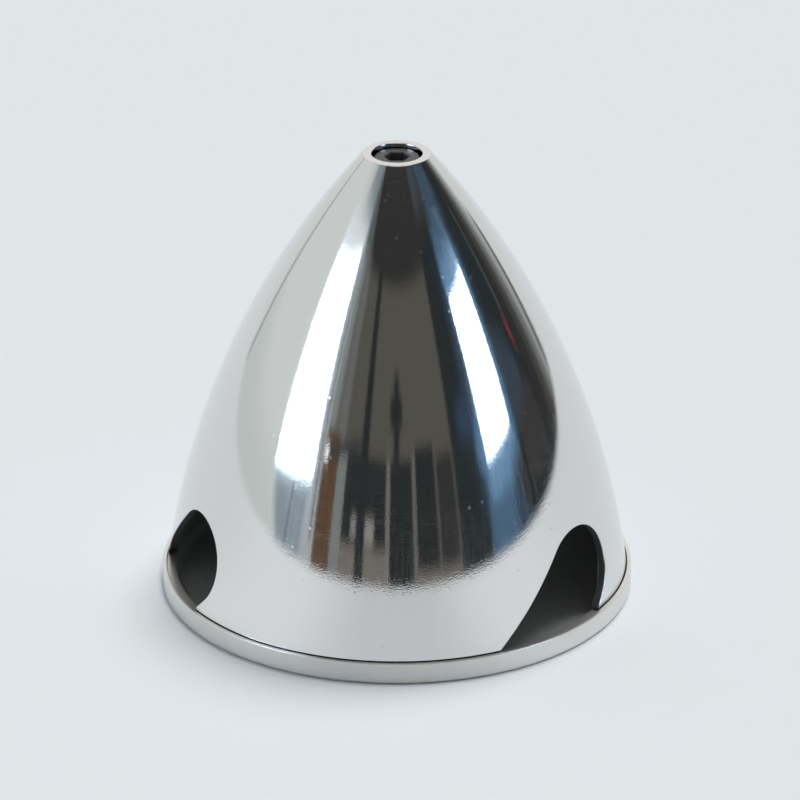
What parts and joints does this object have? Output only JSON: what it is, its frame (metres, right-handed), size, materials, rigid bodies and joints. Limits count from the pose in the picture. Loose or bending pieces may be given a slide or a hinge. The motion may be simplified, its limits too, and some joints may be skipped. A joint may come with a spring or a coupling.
{
  "type": "propeller spinner",
  "caption": "Polished ogive propeller spinner with slanted blade openings, a dished backplate, a sunk nose screw and an adapter nut.",
  "frame": {"origin": "centre of the backplate's rear face, on the crankshaft's axis", "axes": "+Z along the crankshaft towards the nose, +X along the axis of the first blade, the other blades at 120 degrees"},
  "size_m": [0.0888, 0.0888, 0.0873],
  "materials": {
    "polished_aluminium": "mirror polished after turning",
    "turned_aluminium": "fine turned, satin",
    "black_oxide_steel": "black oxide",
    "bright_steel": "machined, lightly oiled"
  },
  "bodies": {
    "root": {"spinner_cone": "polished_aluminium", "backplate": "turned_aluminium", "nose_screw": "black_oxide_steel", "prop_nut": "bright_steel", "prop_washer": "bright_steel"}
  },
  "joints": []
}
